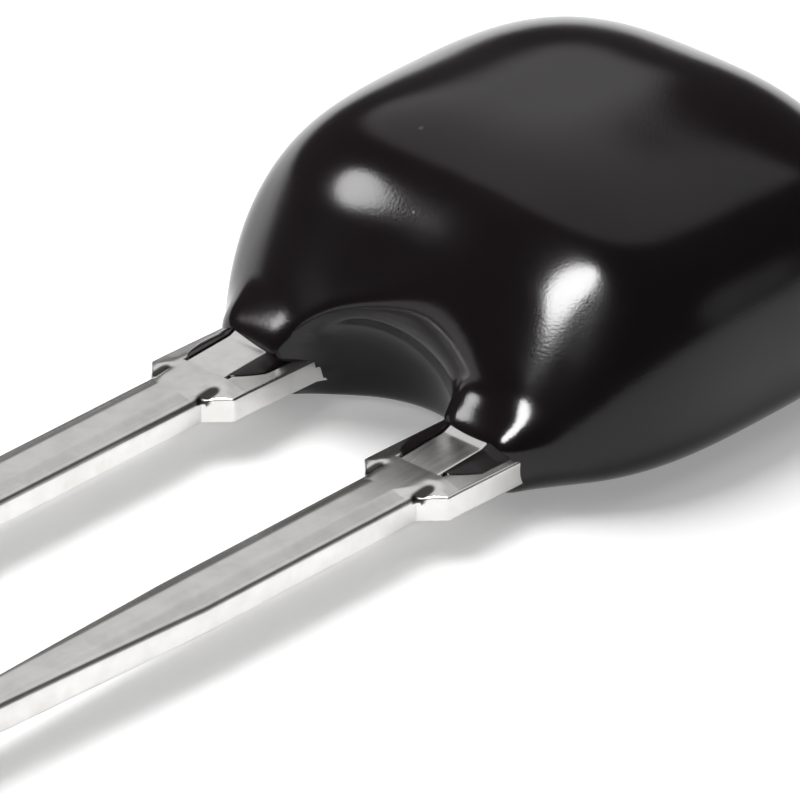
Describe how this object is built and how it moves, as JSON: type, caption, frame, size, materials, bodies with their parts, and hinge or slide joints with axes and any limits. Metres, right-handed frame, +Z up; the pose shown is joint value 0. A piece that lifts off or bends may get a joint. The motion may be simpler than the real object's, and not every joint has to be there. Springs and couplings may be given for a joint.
{
  "type": "ptc thermistor",
  "caption": "Two-lead resettable resistor: black dipped body over a ceramic chip, with stamped tinned clip leads for a circuit board.",
  "frame": {"origin": "middle of the body's flat underside, which it lies on", "axes": "+Z up through the body's thickness, -Y along the leads, +X from the left lead to the right lead"},
  "size_m": [0.005, 0.0118, 0.0026],
  "materials": {
    "black_epoxy": "glossy black dipped epoxy, smooth with a slight flow unevenness",
    "tinned_metal": "bright tin plating over stamped strip, satin",
    "chip_ceramic": "matt fired barium titanate, dark grey",
    "silver_cap": "fired silver film, matt",
    "solder": "reflowed solder, satin"
  },
  "bodies": {
    "root": {"coating": "black_epoxy", "terminal_left": "tinned_metal", "terminal_right": "tinned_metal", "ptc_chip": "chip_ceramic", "end_cap_left": "silver_cap", "end_cap_right": "silver_cap", "solder_left": "solder", "solder_right": "solder"}
  },
  "joints": []
}
